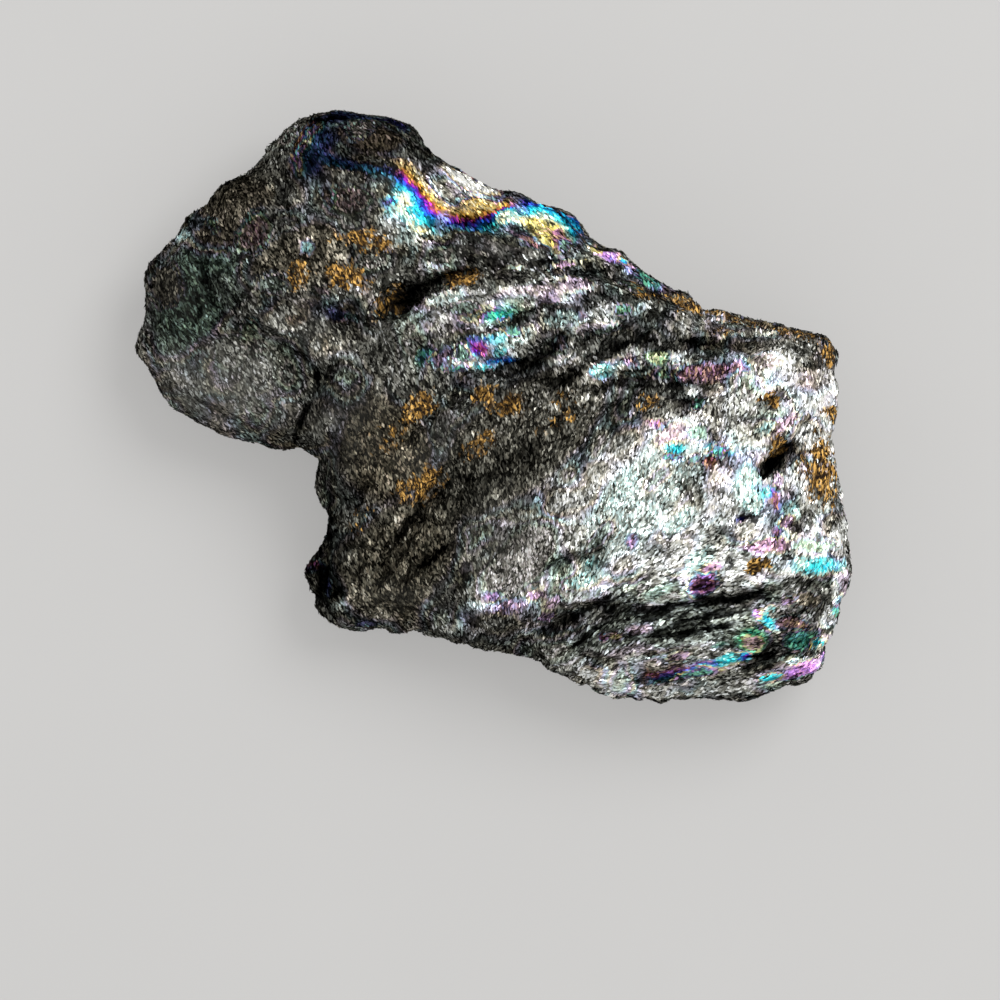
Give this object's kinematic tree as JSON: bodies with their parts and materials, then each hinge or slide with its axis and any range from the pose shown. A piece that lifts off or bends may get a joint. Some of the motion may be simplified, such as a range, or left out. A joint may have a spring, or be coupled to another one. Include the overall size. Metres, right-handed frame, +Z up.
{
  "type": "iridescent specular hematite specimen",
  "caption": "Broken chunk of foliated hematite with a thin plate-like lobe, fanned ridges, an open pit, cracks and terraced sides, resting on a flat underside.",
  "frame": {"origin": "centre of the bounding box in plan, at the height of the flat underside", "axes": "+X along the length, towards the thick broken end; +Y across, towards the knob's side; +Z up, away from the flat underside"},
  "size_m": [0.049, 0.0302, 0.0146],
  "materials": {
    "hematite": "steel-grey metallic mica-like plates with a rainbow tarnish and rust-brown patches"
  },
  "bodies": {
    "root": {"hematite": "hematite"}
  },
  "joints": []
}
